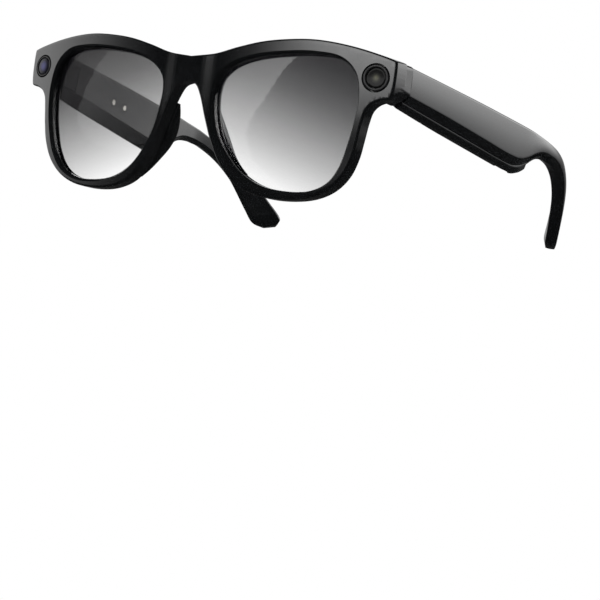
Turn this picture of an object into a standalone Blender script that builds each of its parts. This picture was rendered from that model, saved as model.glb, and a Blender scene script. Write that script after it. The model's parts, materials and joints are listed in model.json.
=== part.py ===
"""Smart glasses: a curved front with two lenses, a camera and a light, and two folding temples.

The pieces are modelled as the glasses are worn, +X to the wearer's left, +Y back along the temples and
+Z up, in millimetres scaled by MM. The empty "glasses" then leans the whole object back so that it rests on
the rims and the temple tips, with its origin under its middle.
"""

import math

import bmesh
import bpy
from mathutils import Vector

MM = 0.001
GAP = 0.3

# Resting pose
SETTLE_ANGLE = math.radians(8.044)
SHIFT_Y = -71.104
LIFT_Z = 29.605

# Front: a flat design of width u, height v and depth w, wrapped round the face
FACE_RADIUS = 298.0
FACE_TILT = math.radians(6.1)
SAG_RADIUS = 110.0
FLARE = 0.19
FLARE_START = 66.0
FLARE_WIDTH = 8.0
BRIDGE_RISE = 0.35
BRIDGE_FLAT = 4.5
BRIDGE_END = 10.5
RIM_DEPTH = 5.0
EDGE_BEVEL = 0.5
ENDPIECE_DEPTH = 7.5
LIP_CHAMFER = 0.9
GROOVE_FRONT = 2.6
GROOVE_BACK = 4.4
GROOVE_DEPTH = 0.9
WRAP_STEP = 6.0

# Camera and light modules
MODULE_U = {1: 67.8, -1: 68.4}
MODULE_V = 12.1
MODULE_RADIUS = {1: 4.25, -1: 3.5}
BEZEL_WALL = {1: 0.9, -1: 0.5}
POCKET_RADIUS = 3.3
POCKET_DEPTH = 4.7

# Hinges
AXIS_X = 66.6
AXIS_Y = 15.5
HINGE_BOTTOM = 8.4
HINGE_TOP = 16.2
KNUCKLE_RADIUS = 1.6
PIN_RADIUS = 0.7

# Temples: t runs back along the temple, p inwards from its outer face
TEMPLE_X = 75.4
TEMPLE_START = 14.4
SPLAY = 0.08
BEND_START = 80.0
BEND_STEP = 17.0
BENDS = [1.7, 0.0, 1.7, 6.3, 14.8, 27.9, 44.0]
KEEL_P = 5.1
TOP_RISE = 0.7
SHELL_P = 2.5
STEP_P = 3.3
COVER_END = 89.0
WALL_P = 7.6

HALF_TOP = [(0, 15.1), (9, 16.2), (18, 18.8), (27, 21.0), (36, 22.2), (45, 22.7), (54, 22.1), (64, 20.5)]
END_SIDE = [(73.2, 18.2), (74.1, 17.2), (74.1, 9.6), (73.6, 6.5), (72.6, 5.6)]
HALF_LOW = [
    (70.0, 5.0), (67.8, 3.9), (66.1, 1.8), (65.1, -2.0), (64.2, -7.5), (62.9, -13.5), (60.2, -19.3),
    (55.5, -24.0), (48.6, -27.2), (38.5, -28.6), (29.0, -27.9), (21.2, -25.0), (15.5, -19.6), (11.6, -12.8),
    (8.4, -5.0), (5.6, 2.2), (3.4, 5.6), (0, 6.9),
]
APERTURE = [
    (10.9, 4.5), (11.3, -1.5), (13.0, -8.4), (16.6, -14.9), (22.0, -20.6), (29.5, -24.4), (38.5, -25.7),
    (48.0, -24.9), (54.3, -21.7), (58.0, -16.6), (60.1, -10.3), (61.7, -2.5), (62.2, 5.5), (60.4, 12.6),
    (55.6, 16.7), (46.5, 17.9), (35.0, 17.2), (24.5, 15.5), (16.4, 12.5), (12.1, 8.6),
]
# Endpiece blocks behind the front's corners: a section at the rim and one at the hinge
BLOCK_FRONT = [
    (63.2, 8.6), (63.2, 19.9), (73.2, 18.0), (74.15, 17.1),
    (74.15, 9.6), (73.4, 6.4), (70.0, 5.6), (66.0, 6.4),
]
BLOCK_BACK = [
    (64.2, 9.0), (64.2, 17.7), (73.2, 17.8), (74.15, 17.1),
    (74.15, 8.2), (69.6, 4.5), (67.2, 5.4), (65.2, 7.0),
]
# Facet under an endpiece: what is cut away near the face and behind the hinge
FACET_FRONT = [(74.8, 9.5), (73.1, 4.6), (76.0, 4.6)]
FACET_BACK = [(74.8, 9.1), (69.2, 3.6), (76.0, 3.6)]
# Nose pads: base point on the rim, and height behind it
PAD_STATIONS = [
    ((8.2, 0.6), 0.6), ((9.1, -2.2), 2.8), ((10.2, -5.4), 4.6), ((11.7, -9.2), 5.6), ((13.8, -12.9), 5.2),
    ((16.3, -16.4), 3.8), ((19.2, -19.8), 2.2), ((22.0, -22.4), 0.7),
]
# Ribs of a temple: top edge, lower edge of the outer face, keel, and thickness
RIBS = [
    ((15.1, 18.2), (16.1, 8.9), (16.5, 5.1), 9.0),
    ((36.0, 18.3), (36.0, 8.3), (36.5, 3.8), 9.0),
    ((58.0, 18.3), (58.0, 7.2), (58.0, 2.8), 9.0),
    ((74.0, 18.1), (74.0, 6.4), (74.0, 2.1), 9.0),
    ((80.0, 18.0), (80.0, 6.8), (80.0, 1.9), 9.0),
    ((84.0, 17.9), (84.0, 8.4), (84.0, 2.7), 9.0),
    ((88.0, 17.7), (88.0, 10.7), (88.0, 4.9), 9.0),
    ((92.0, 17.5), (92.0, 12.4), (92.0, 8.1), 8.6),
    ((96.0, 17.3), (96.0, 13.2), (96.0, 10.7), 7.9),
    ((101.0, 17.0), (101.0, 13.4), (101.0, 11.9), 7.2),
    ((106.0, 16.5), (104.5, 13.4), (104.5, 12.0), 6.6),
    ((114.0, 14.7), (111.0, 12.5), (110.5, 11.8), 5.8),
    ((122.0, 11.4), (118.5, 9.9), (117.7, 9.5), 5.1),
    ((129.6, 7.4), (125.5, 5.3), (124.7, 4.8), 4.6),
    ((135.6, 3.4), (130.0, 0.4), (129.0, -0.1), 4.5),
    ((140.8, -1.4), (134.0, -4.8), (133.2, -5.4), 4.4),
    ((145.0, -6.0), (137.5, -8.9), (136.8, -9.5), 4.2),
    ((144.8, -8.4), (141.5, -9.8), (140.5, -10.2), 3.4),
]

SIDES = {"left": 1, "right": -1}


# ---------------------------------------------------------------- scene helpers

def clear_scene():
    for obj in list(bpy.data.objects):
        bpy.data.objects.remove(obj, do_unlink=True)


def new_collection(name):
    collection = bpy.data.collections.new(name)
    bpy.context.scene.collection.children.link(collection)
    return collection


def material(name, colour, roughness, metallic=0.0, transmission=0.0):
    made = bpy.data.materials.new(name)
    made.use_nodes = True
    shader = made.node_tree.nodes["Principled BSDF"]
    shader.inputs["Base Color"].default_value = (*colour, 1.0)
    shader.inputs["Roughness"].default_value = roughness
    shader.inputs["Metallic"].default_value = metallic
    shader.inputs["Transmission Weight"].default_value = transmission
    return made


def new_empty(name, place, parent=None):
    empty = bpy.data.objects.new(name, None)
    empty.location = Vector(place) * MM
    empty.parent = parent
    empty.empty_display_size = 10 * MM
    PARTS.objects.link(empty)
    return empty


def new_object(name, bm, parent, look=None, smooth=True):
    """An object from a mesh in millimetres as worn, hung on its parent empty."""
    origin = parent.location if parent.parent else Vector()
    bmesh.ops.recalc_face_normals(bm, faces=bm.faces)
    bmesh.ops.scale(bm, vec=(MM, MM, MM), verts=bm.verts)
    bmesh.ops.translate(bm, vec=-origin, verts=bm.verts)
    mesh = bpy.data.meshes.new(name)
    bm.to_mesh(mesh)
    bm.free()
    obj = bpy.data.objects.new(name, mesh)
    obj.parent = parent
    if look is None:
        CUTTERS.objects.link(obj)
        obj.hide_render = True
        obj.display_type = "WIRE"
        return obj
    PARTS.objects.link(obj)
    mesh.materials.append(look)
    if smooth:
        mesh.shade_smooth()
        mesh.set_sharp_from_angle(angle=math.radians(35))
    return obj


def boolean(obj, other, operation="DIFFERENCE", solver="EXACT"):
    modifier = obj.modifiers.new(other.name, "BOOLEAN")
    modifier.operation = operation
    modifier.solver = solver
    modifier.object = other


# ---------------------------------------------------------------- shape helpers

def catmull_rom(before, start, end, after, s):
    """The point at fraction s of the smooth curve from start to end."""
    return tuple(
        0.5 * (2 * b + (c - a) * s + (2 * a - 5 * b + 4 * c - d) * s * s + (3 * b - a - 3 * c + d) * s**3)
        for a, b, c, d in zip(before, start, end, after)
    )


def smooth_line(points, steps):
    """A smooth open curve through the points, with steps pieces between each two."""
    padded = [points[0], *points, points[-1]]
    line = []
    for i in range(len(points) - 1):
        line += [catmull_rom(*padded[i : i + 4], step / steps) for step in range(steps)]
    return [*line, points[-1]]


def smooth_loop(points, steps):
    """A smooth closed curve through the points."""
    count = len(points)
    loop = []
    for i in range(count):
        four = [points[(i + j - 1) % count] for j in range(4)]
        loop += [catmull_rom(*four, step / steps) for step in range(steps)]
    return loop


def signed_area(loop):
    return 0.5 * sum(a[0] * b[1] - b[0] * a[1] for a, b in zip(loop, loop[1:] + loop[:1]))


def grown(loop, distance):
    """The closed outline moved outwards by a distance, or inwards by a negative one."""
    turn = 1 if signed_area(loop) > 0 else -1
    moved = []
    for before, here, after in zip(loop[-1:] + loop[:-1], loop, loop[1:] + loop[:1]):
        along = (Vector(here) - Vector(before)).normalized() + (Vector(after) - Vector(here)).normalized()
        along.normalize()
        moved.append((here[0] + turn * along.y * distance, here[1] - turn * along.x * distance))
    return moved


def loft(sections):
    """A closed mesh through sections of equal length, with its two ends filled."""
    bm = bmesh.new()
    rings = [[bm.verts.new(point) for point in section] for section in sections]
    for near, far in zip(rings, rings[1:]):
        for i in range(len(near)):
            j = (i + 1) % len(near)
            bm.faces.new((near[i], near[j], far[j], far[i]))
    ends = [bm.faces.new(rings[0]), bm.faces.new(reversed(rings[-1]))]
    bmesh.ops.triangulate(bm, faces=ends, ngon_method="BEAUTY")
    return bm


def circle(centre, radius, sides=28):
    turns = [2 * math.pi * i / sides for i in range(sides)]
    return [(centre[0] + radius * math.cos(a), centre[1] + radius * math.sin(a)) for a in turns]


def box(low, high):
    bm = bmesh.new()
    bmesh.ops.create_cube(bm, size=1.0)
    for vert in bm.verts:
        vert.co = Vector(low[i] + (vert.co[i] + 0.5) * (high[i] - low[i]) for i in range(3))
    return bm


def upright_cylinder(x, y, radius, bottom, top, sides=20):
    bm = bmesh.new()
    size = {"radius1": radius, "radius2": radius, "depth": top - bottom}
    bmesh.ops.create_cone(bm, cap_ends=True, segments=sides, **size)
    bmesh.ops.translate(bm, vec=(x, y, (bottom + top) / 2), verts=bm.verts)
    return bm


# ---------------------------------------------------------------- front

def smooth_step(value, low, high):
    share = min(max((value - low) / (high - low), 0.0), 1.0)
    return share * share * (3 - 2 * share)


def wrapped(u, w, v):
    """The flat design point (u across, v up, w back) on the curved, tilted front, proud at the bridge."""
    ramp = min(max((abs(u) - FLARE_START) / FLARE_WIDTH, 0.0), 1.0)
    side = math.copysign(1.0, u)
    x = u + side * FLARE * max(w, 0.0) * ramp
    bridge = 1 - smooth_step(abs(u), BRIDGE_FLAT, BRIDGE_END)
    w -= BRIDGE_RISE * bridge * (1 - w / RIM_DEPTH)
    sag = u * u / (2 * FACE_RADIUS) + min(v, 0.0) ** 2 / (2 * SAG_RADIUS)
    y = sag - v * math.sin(FACE_TILT) + w * math.cos(FACE_TILT)
    z = v * math.cos(FACE_TILT) + w * math.sin(FACE_TILT)
    return Vector((x, y, z))


def layered(layers):
    """A flat-design solid from (outline, w) layers, front to back."""
    return loft([[(u, w, v) for u, v in outline] for outline, w in layers])


def wrap(bm):
    """Cuts the flat design into upright strips and lays it on the curved front."""
    reach = max(abs(vert.co.x) for vert in bm.verts)
    for i in range(-int(reach / WRAP_STEP), int(reach / WRAP_STEP) + 1):
        geometry = bm.verts[:] + bm.edges[:] + bm.faces[:]
        cut_at = (i * WRAP_STEP, 0, 0)
        bmesh.ops.bisect_plane(bm, geom=geometry, dist=0.002, plane_co=cut_at, plane_no=(1, 0, 0))
    bmesh.ops.triangulate(bm, faces=bm.faces)
    for vert in bm.verts:
        vert.co = wrapped(*vert.co)
    return bm


def front_outline():
    """The closed outline of the whole front, both halves."""
    half = smooth_line(HALF_TOP, 2) + END_SIDE + smooth_line(HALF_LOW, 2)
    return half + [(-u, v) for u, v in reversed(half[1:-1])]


def mirrored(outline, side):
    return [(side * u, v) for u, v in outline]


def joined(bm, other, operation):
    """One mesh from two closed ones, by a boolean in the flat design."""
    objects = []
    for made in (bm, other):
        bmesh.ops.recalc_face_normals(made, faces=made.faces)
        mesh = bpy.data.meshes.new("stage")
        made.to_mesh(mesh)
        made.free()
        objects.append(bpy.data.objects.new("stage", mesh))
        CUTTERS.objects.link(objects[-1])
    boolean(objects[0], objects[1], operation, "MANIFOLD")
    graph = bpy.context.evaluated_depsgraph_get()
    result = bmesh.new()
    result.from_mesh(bpy.data.meshes.new_from_object(objects[0].evaluated_get(graph)))
    for obj in objects:
        bpy.data.objects.remove(obj, do_unlink=True)
    return result


def aperture_cutter(side):
    """The lens opening: a chamfered lip, the lens groove and the rear lip."""
    outline = mirrored(smooth_loop(APERTURE, 2), side)
    wide = grown(outline, LIP_CHAMFER)
    groove = grown(outline, GROOVE_DEPTH)
    return layered([
        (grown(outline, LIP_CHAMFER + 1.0), -1.0),
        (wide, 0.0),
        (outline, LIP_CHAMFER),
        (outline, GROOVE_FRONT),
        (groove, GROOVE_FRONT),
        (groove, GROOVE_BACK),
        (outline, GROOVE_BACK),
        (outline, RIM_DEPTH + 4.0),
    ])


def module_centre(side):
    return (side * MODULE_U[side], MODULE_V)


def module_bore(side):
    """The stepped bore that holds the camera or the light, open at the front."""
    centre = module_centre(side)
    mouth = MODULE_RADIUS[side] + GAP
    return layered([
        (circle(centre, mouth), -2.0),
        (circle(centre, mouth), 2.0),
        (circle(centre, POCKET_RADIUS), 2.0),
        (circle(centre, POCKET_RADIUS), POCKET_DEPTH),
    ])


def front_frame():
    outline = front_outline()
    inset = grown(outline, -EDGE_BEVEL)
    frame = layered([
        (inset, 0.0),
        (outline, EDGE_BEVEL),
        (outline, RIM_DEPTH - EDGE_BEVEL),
        (inset, RIM_DEPTH),
    ])
    for side in SIDES.values():
        block = layered([
            (mirrored(BLOCK_FRONT, side), 1.5),
            (mirrored(BLOCK_FRONT, side), 3.0),
            (mirrored(BLOCK_BACK, side), ENDPIECE_DEPTH),
        ])
        frame = joined(frame, block, "UNION")
        near, far = mirrored(FACET_FRONT, side), mirrored(FACET_BACK, side)
        facet = layered([(near, 0.7), (far, ENDPIECE_DEPTH + 1)])
        frame = joined(frame, facet, "DIFFERENCE")
        frame = joined(frame, aperture_cutter(side), "DIFFERENCE")
        frame = joined(frame, module_bore(side), "DIFFERENCE")
    frame = new_object("front_frame", wrap(frame), GLASSES, BLACK_GLOSS)
    for name, side in SIDES.items():
        x_range = sorted((side * 60.0, side * 68.9))
        notch = box((x_range[0], 11.3, HINGE_BOTTOM - 0.6), (x_range[1], 18.0, HINGE_TOP + 0.6))
        boolean(frame, new_object("endpiece_notch_" + name, notch, GLASSES))
    return frame


def lens(name, side):
    outline = mirrored(smooth_loop(APERTURE, 2), side)
    edge = grown(outline, GROOVE_DEPTH - GAP)
    plate = layered([(edge, GROOVE_FRONT + GAP), (edge, GROOVE_BACK - GAP)])
    return new_object("lens_" + name, wrap(plate), GLASSES, LENS_TINT)


def nose_pad(name, side):
    """A glued pad that rises behind the rim and leans towards the nose."""
    centres = smooth_line([(*place, height) for place, height in PAD_STATIONS], 2)
    base = RIM_DEPTH + GAP
    sections = []
    for i, (u, v, height) in enumerate(centres):
        near, far = centres[max(i - 1, 0)], centres[min(i + 1, len(centres) - 1)]
        along = Vector((far[0] - near[0], far[1] - near[1])).normalized()
        out = Vector((along.y, -along.x))
        profile = [
            (1.6, base), (2.3, base + 0.35 * height), (2.1, base + 0.85 * height), (1.2, base + height),
            (0.1, base + 0.92 * height), (-1.1, base + 0.45 * height), (-1.5, base),
        ]
        sections.append([(side * (u + out.x * n), w, v + out.y * n) for n, w in profile])
    return new_object("nose_pad_" + name, wrap(loft(sections)), GLASSES, BLACK_GLOSS)


def module_piece(name, side, layers, look):
    """A round piece of the camera or light, from (radius, w) layers."""
    centre = module_centre(side)
    solid = layered([(circle(centre, radius), w) for radius, w in layers])
    for vert in solid.verts:
        vert.co = wrapped(*vert.co)
    return new_object(name, solid, GLASSES, look)


def bezel(name, side):
    """A ring: its layers run down the outside and back up the bore."""
    centre = module_centre(side)
    radius = MODULE_RADIUS[side]
    inner = radius - BEZEL_WALL[side]
    layers = [(radius - 0.15, -0.15), (radius, 0.0), (radius, 1.7), (inner, 1.7), (inner, 0.0)]
    sides = 28
    bm = bmesh.new()
    rings = [[bm.verts.new(wrapped(u, w, v)) for u, v in circle(centre, r, sides)] for r, w in layers]
    for near, far in zip(rings, rings[1:] + rings[:1]):
        for i in range(sides):
            j = (i + 1) % sides
            bm.faces.new((near[i], near[j], far[j], far[i]))
    return new_object(name, bm, GLASSES, BLACK_GLOSS)


def camera():
    bezel("camera_bezel", -1)
    edge = MODULE_RADIUS[-1] - BEZEL_WALL[-1] - GAP
    dome = [(edge, 1.3), (edge, 0.3), (2.2, 0.0), (1.4, -0.2), (0.5, -0.3)]
    module_piece("camera_window", -1, dome, CAMERA_GLASS)
    module_piece("camera_barrel", -1, [(2.2, 1.7), (2.2, 2.6), (2.9, 2.6), (2.9, 3.7)], DARK_PLASTIC)
    module_piece("camera_sensor", -1, [(2.7, 4.0), (2.7, 4.4)], BOARD_GREEN)


def light():
    bezel("light_bezel", 1)
    edge = MODULE_RADIUS[1] - BEZEL_WALL[1] - GAP
    module_piece("light_window", 1, [(edge, 0.1), (edge, 1.1)], SMOKED_WINDOW)
    module_piece("light_emitter", 1, [(1.3, 1.6), (1.3, 2.9)], LIGHT_YELLOW)
    module_piece("light_board", 1, [(2.9, 3.3), (2.9, 4.2)], BOARD_GREEN)


# ---------------------------------------------------------------- temples

def outer_face_x(t):
    """How far out the outer face is: straight, then bending in behind the ear."""
    place = max(0.0, (t - BEND_START) / BEND_STEP)
    i = int(place)
    (bend,) = catmull_rom(*((b,) for b in BENDS[i : i + 4]), place - i)
    return TEMPLE_X + SPLAY * (t - TEMPLE_START) - bend


def temple_point(side, t, p, z):
    """The point p inside the outer face, on the splayed temple that bends in behind the ear."""
    slope = outer_face_x(t + 0.5) - outer_face_x(t - 0.5)
    length = math.hypot(1.0, slope)
    return Vector((side * (outer_face_x(t) - p / length), t + p * slope / length, z))


def brick(side, t_range, p_range, z_range):
    """A block that follows the straight part of a temple."""
    sections = []
    for t in t_range:
        bottom, top = z_range
        corners = [(p_range[0], bottom), (p_range[1], bottom), (p_range[1], top), (p_range[0], top)]
        sections.append([temple_point(side, t, p, z) for p, z in corners])
    return loft(sections)


def ribs():
    """The temple's ribs, with one more between each two: (top, face, keel, thickness)."""
    flat = [(*top, *face, *keel, thickness) for top, face, keel, thickness in RIBS]
    return [(r[0:2], r[2:4], r[4:6], r[6]) for r in smooth_line(flat, 2)]


def blend(a, b, share):
    return (a[0] + (b[0] - a[0]) * share, a[1] + (b[1] - a[1]) * share)


def blend_ribs(a, b, share):
    thickness = a[3] + (b[3] - a[3]) * share
    return (*(blend(a[i], b[i], share) for i in range(3)), thickness)


def ribs_at_cover():
    """The ribs along the cover, and those behind it."""
    along = [rib for rib in ribs() if rib[0][0] < COVER_END]
    return along, ribs()[len(along) :]


def raised(point, rise):
    return (point[0], point[1] + rise)


def rib_corners(rib):
    """A rib's section, round from the outer face: (p, (t, z))."""
    top, face, keel, thickness = rib
    inner_low = blend(face, keel, 0.28)
    keel_p = KEEL_P * thickness / 9.0
    shoulder = blend(top, face, 0.06)
    inner_top = raised(top, TOP_RISE)
    return [
        (0.6, top), (0.0, shoulder), (0.0, face), (keel_p * 0.45, blend(face, keel, 0.45)), (keel_p, keel),
        (thickness, inner_low), (thickness, blend(inner_top, face, 0.06)), (thickness - 0.6, inner_top),
    ]


def shell_section(side, rib):
    """The outer shell: a thin wall along the cover, and the full section behind it."""
    top, face, keel, thickness = rib
    low = blend(face, keel, SHELL_P / KEEL_P)
    inner_wall = [(SHELL_P, blend(low, top, share)) for share in (0.0, 0.2, 0.5, 0.8, 1.0)]
    corners = [(0.6, top), (0.0, blend(top, face, 0.06)), (0.0, face), *inner_wall]
    return [temple_point(side, t, p, z) for p, (t, z) in corners]


def full_section(side, rib):
    return [temple_point(side, t, p, z) for p, (t, z) in rib_corners(rib)]


def cover_section(side, rib):
    """The inner cover, from just inside the shell to the inner face."""
    top, face, keel, thickness = rib
    start = SHELL_P + GAP
    low = blend(face, keel, start / KEEL_P)
    inner_top = raised(top, TOP_RISE)
    corners = [
        (start, raised(top, TOP_RISE * start / thickness)), (start, low), (STEP_P, blend(low, keel, 0.85)),
        (KEEL_P, keel),
        (thickness, blend(face, keel, 0.28)), (thickness, blend(inner_top, face, 0.06)),
        (thickness - 0.6, inner_top),
    ]
    return [temple_point(side, t, p, z) for p, (t, z) in corners]


def temple_shell(name, side, pivot):
    """The outer wall of the whole temple, solid from the end of the cover to the tip."""
    along, behind = ribs_at_cover()
    sections = [shell_section(side, rib) for rib in along]
    sections += [full_section(side, rib) for rib in (blend_ribs(along[-1], behind[0], 0.15), *behind)]
    return new_object("temple_shell_" + name, loft(sections), pivot, BLACK_GLOSS)


def temple_cover(name, side, pivot):
    along, behind = ribs_at_cover()
    last = blend_ribs(along[-2], along[-1], 0.8)
    sections = [cover_section(side, rib) for rib in (*along[:-1], last)]
    cover = new_object("temple_cover_" + name, loft(sections), pivot, BLACK_GLOSS)
    cut(cover, "pocket_" + name, brick(side, (25.5, 83.5), (1.0, WALL_P), (7.8, 16.6)), pivot)
    x_range = sorted((side * 60.0, side * 68.9))
    notch = box((x_range[0], 12.0, HINGE_BOTTOM - 0.6), (x_range[1], 24.2, HINGE_TOP + 0.6))
    cut(cover, "hinge_notch_" + name, notch, pivot)
    cut(cover, "speaker_port_" + name, brick(side, (72.5, 81.0), (4.2, 6.0), (0.0, 9.0)), pivot)
    cut(cover, "microphone_port_" + name, brick(side, (29.5, 30.5), (4.6, 5.6), (0.0, 9.0)), pivot)
    return cover


def cut(obj, name, bm, pivot):
    boolean(obj, new_object(name, bm, pivot))


def piece(name, side, pivot, t_range, p_range, z_range, look):
    return new_object(name, brick(side, t_range, p_range, z_range), pivot, look, smooth=False)


def inside_pieces(name, side, pivot):
    """What each temple holds: board, battery, speaker, grille and microphone."""
    piece("board_" + name, side, pivot, (27.0, 57.0), (5.6, 6.5), (8.2, 15.2), BOARD_GREEN)
    piece("battery_" + name, side, pivot, (43.0, 70.5), (2.8, 5.2), (9.4, 15.8), BATTERY_GREY)
    piece("speaker_" + name, side, pivot, (72.5, 82.5), (3.0, 7.2), (8.3, 14.5), DARK_PLASTIC)
    piece("microphone_" + name, side, pivot, (28.5, 31.5), (3.2, 5.2), (8.1, 9.3), STEEL)
    grille = piece("speaker_grille_" + name, side, pivot, (72.9, 80.6), (4.5, 5.7), (3.6, 5.0), STEEL)
    for i in range(4):
        start = 73.9 + i * 1.7
        slot = brick(side, (start, start + 0.7), (4.8, 5.4), (3.0, 6.0))
        cut(grille, f"grille_slot_{name}_{i}", slot, pivot)


def hinge_leaf(name, side, pivot, plate, web_y, knuckles, look):
    """A plate, its webs and its knuckles joined into one leaf, with the pin's bore through it."""
    leaf = new_object(name, box(*side_box(side, *plate)), pivot, look)
    for i, (bottom, top) in enumerate(knuckles):
        web = box(*side_box(side, (AXIS_X - 0.8, web_y[0], bottom), (AXIS_X + 0.9, web_y[1], top)))
        boolean(leaf, new_object(f"{name}_web_{i}", web, pivot), "UNION")
        knuckle = upright_cylinder(side * AXIS_X, AXIS_Y, KNUCKLE_RADIUS, bottom, top)
        boolean(leaf, new_object(f"{name}_knuckle_{i}", knuckle, pivot), "UNION")
    bore = upright_cylinder(side * AXIS_X, AXIS_Y, PIN_RADIUS + 0.3, HINGE_BOTTOM - 3, HINGE_TOP + 3)
    boolean(leaf, new_object(name + "_bore", bore, pivot))
    return leaf


def side_box(side, low, high):
    """A box's corners for the left side, mirrored when it is for the right."""
    xs = sorted((side * low[0], side * high[0]))
    return (xs[0], *low[1:]), (xs[1], *high[1:])


def hinge(name, side, pivot):
    third = (HINGE_TOP - HINGE_BOTTOM) / 3
    low = (HINGE_BOTTOM, HINGE_BOTTOM + third - GAP / 2)
    middle = (HINGE_BOTTOM + third + GAP / 2, HINGE_TOP - third - GAP / 2)
    high = (HINGE_TOP - third + GAP / 2, HINGE_TOP)
    front_plate = ((65.3, 11.7, HINGE_BOTTOM), (68.5, 13.1, HINGE_TOP))
    temple_plate = ((67.2, 17.5, HINGE_BOTTOM), (68.5, 23.8, HINGE_TOP))
    hinge_leaf("hinge_front_" + name, side, GLASSES, front_plate, (12.6, AXIS_Y), (low, high), STEEL)
    hinge_leaf("hinge_temple_" + name, side, pivot, temple_plate, (AXIS_Y, 18.0), (middle,), STEEL)
    pin = upright_cylinder(side * AXIS_X, AXIS_Y, PIN_RADIUS, HINGE_BOTTOM - 0.1, HINGE_TOP + 0.5)
    new_object("hinge_pin_" + name, pin, GLASSES, STEEL)


def capture_button(pivot, cover):
    """A sprung key in the top of the right temple, with a flange under the wall."""
    side = SIDES["right"]
    cut(cover, "button_hole", brick(side, (32.7, 41.3), (3.3, 6.9), (15.0, 21.0)), pivot)
    solid = brick(side, (33.0, 41.0), (3.6, 6.6), (16.2, 18.9))
    key = new_object("capture_button", solid, pivot, DARK_PLASTIC)
    flange = new_object("button_flange", brick(side, (32.2, 41.8), (2.9, 7.2), (15.9, 16.3)), pivot)
    boolean(key, flange, "UNION")


def power_switch(pivot, cover):
    """A sliding knob in the inner face of the left temple, with a plate behind the wall."""
    side = SIDES["left"]
    cut(cover, "switch_slot", brick(side, (28.0, 37.0), (6.8, 10.0), (10.4, 12.6)), pivot)
    solid = brick(side, (28.3, 33.3), (7.0, 9.5), (10.7, 12.3))
    knob = new_object("power_switch", solid, pivot, DARK_PLASTIC)
    plate = new_object("switch_plate", brick(side, (27.2, 34.8), (6.8, 7.3), (9.6, 13.4)), pivot)
    boolean(knob, plate, "UNION")


def charging_contacts(pivot, cover):
    """Two round gold contacts in the inner face of the right temple."""
    side = SIDES["right"]
    for name, t in (("front", 46.8), ("back", 54.0)):
        for hole, radius, p_range in ((True, 1.3, (6.9, 10.0)), (False, 1.0, (6.8, 9.15))):
            turns = [2 * math.pi * i / 20 for i in range(20)]
            rim = [(t + radius * math.cos(a), 11.3 + radius * math.sin(a)) for a in turns]
            pin = loft([[temple_point(side, tt, p, z) for tt, z in rim] for p in p_range])
            if hole:
                cut(cover, "contact_hole_" + name, pin, pivot)
            else:
                new_object("charging_contact_" + name, pin, pivot, GOLD)


def temple(name, side):
    pivot = new_empty("temple_pivot_" + name, (side * AXIS_X, AXIS_Y, HINGE_BOTTOM), GLASSES)
    temple_shell(name, side, pivot)
    cover = temple_cover(name, side, pivot)
    inside_pieces(name, side, pivot)
    hinge(name, side, pivot)
    if name == "right":
        capture_button(pivot, cover)
        charging_contacts(pivot, cover)
        piece("touch_sensor", side, pivot, (27.0, 42.0), (2.75, 3.05), (9.4, 15.2), COPPER)
    else:
        power_switch(pivot, cover)


clear_scene()
PARTS = new_collection("smart_glasses")
CUTTERS = new_collection("cutters")

BLACK_GLOSS = material("black_gloss", (0.012, 0.012, 0.014), 0.12)
LENS_TINT = material("lens_tint", (0.35, 0.36, 0.37), 0.03, transmission=0.8)
CAMERA_GLASS = material("camera_glass", (0.03, 0.03, 0.09), 0.03, transmission=0.4)
SMOKED_WINDOW = material("smoked_window", (0.05, 0.05, 0.05), 0.05, transmission=0.4)
DARK_PLASTIC = material("dark_plastic", (0.02, 0.02, 0.02), 0.45)
STEEL = material("steel", (0.55, 0.55, 0.56), 0.3, metallic=1.0)
GOLD = material("gold_contacts", (0.9, 0.75, 0.45), 0.25, metallic=1.0)
COPPER = material("copper_film", (0.7, 0.4, 0.25), 0.4, metallic=1.0)
BOARD_GREEN = material("board_green", (0.02, 0.12, 0.05), 0.5)
BATTERY_GREY = material("battery_foil", (0.45, 0.45, 0.47), 0.4, metallic=0.6)
LIGHT_YELLOW = material("light_emitter", (0.8, 0.75, 0.4), 0.4)

GLASSES = new_empty("glasses", (0, SHIFT_Y, LIFT_Z))
GLASSES.rotation_euler = (-SETTLE_ANGLE, 0, 0)

front_frame()
camera()
light()
for side_name, side_sign in SIDES.items():
    lens(side_name, side_sign)
    nose_pad(side_name, side_sign)
    temple(side_name, side_sign)
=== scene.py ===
"""Looks of the smart glasses: rounded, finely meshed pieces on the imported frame, their finishes, and a
studio. Pieces are modelled as the glasses are worn, in millimetres, then laid in the frame's resting pose.
"""

import json
import math

import bmesh
import bpy
from mathutils import Matrix, Vector

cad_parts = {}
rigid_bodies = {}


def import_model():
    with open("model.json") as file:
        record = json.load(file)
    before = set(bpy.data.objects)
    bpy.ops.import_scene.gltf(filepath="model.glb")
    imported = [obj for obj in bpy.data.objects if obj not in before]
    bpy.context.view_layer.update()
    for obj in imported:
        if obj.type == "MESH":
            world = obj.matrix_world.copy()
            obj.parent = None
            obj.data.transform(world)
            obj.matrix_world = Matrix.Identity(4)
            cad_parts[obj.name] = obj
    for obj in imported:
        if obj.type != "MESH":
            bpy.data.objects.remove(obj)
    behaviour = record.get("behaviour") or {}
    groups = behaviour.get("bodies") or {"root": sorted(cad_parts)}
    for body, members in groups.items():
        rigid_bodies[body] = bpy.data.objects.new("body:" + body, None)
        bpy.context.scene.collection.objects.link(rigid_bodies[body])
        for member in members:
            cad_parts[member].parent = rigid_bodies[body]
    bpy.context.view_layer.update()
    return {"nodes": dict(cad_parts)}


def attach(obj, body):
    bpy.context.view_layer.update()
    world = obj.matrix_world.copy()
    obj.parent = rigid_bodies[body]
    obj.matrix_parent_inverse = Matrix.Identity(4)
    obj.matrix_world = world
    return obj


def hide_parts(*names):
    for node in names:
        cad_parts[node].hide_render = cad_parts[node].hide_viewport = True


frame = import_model()

MM = 0.001
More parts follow.
